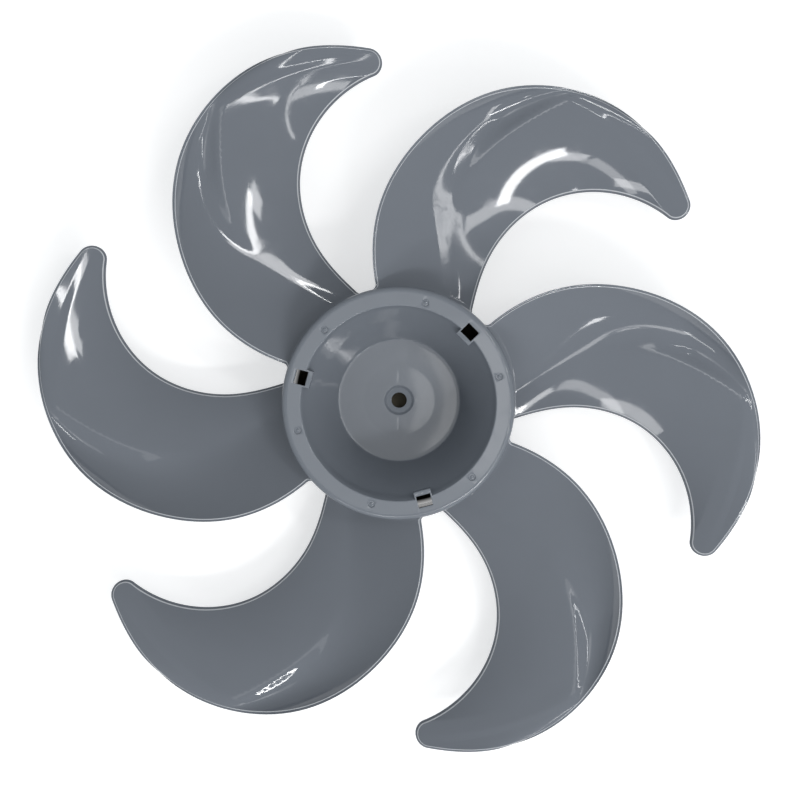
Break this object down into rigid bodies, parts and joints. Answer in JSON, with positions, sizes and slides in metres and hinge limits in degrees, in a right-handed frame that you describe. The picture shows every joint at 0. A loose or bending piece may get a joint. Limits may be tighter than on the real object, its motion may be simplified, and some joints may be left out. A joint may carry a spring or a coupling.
{
  "type": "pedestal fan blade",
  "caption": "Moulded fan propeller with curved sickle blades round a deep cup hub, a central shaft bore with a pin slot behind it, and clip windows for a hub cap.",
  "frame": {"origin": "on the shaft axis, in the plane of the hub skirt's back edge, which is the base that the part rests on", "axes": "+Z along the shaft axis, from the motor side towards the front of the fan; +X and +Y lie in the plane of the skirt's back edge, with a clip window of the rim at 45 degrees between them"},
  "size_m": [0.3706, 0.3646, 0.054],
  "materials": {
    "blade_plastic": "glossy moulded blue-grey plastic"
  },
  "bodies": {
    "root": {"fan_blade": "blade_plastic"}
  },
  "joints": []
}
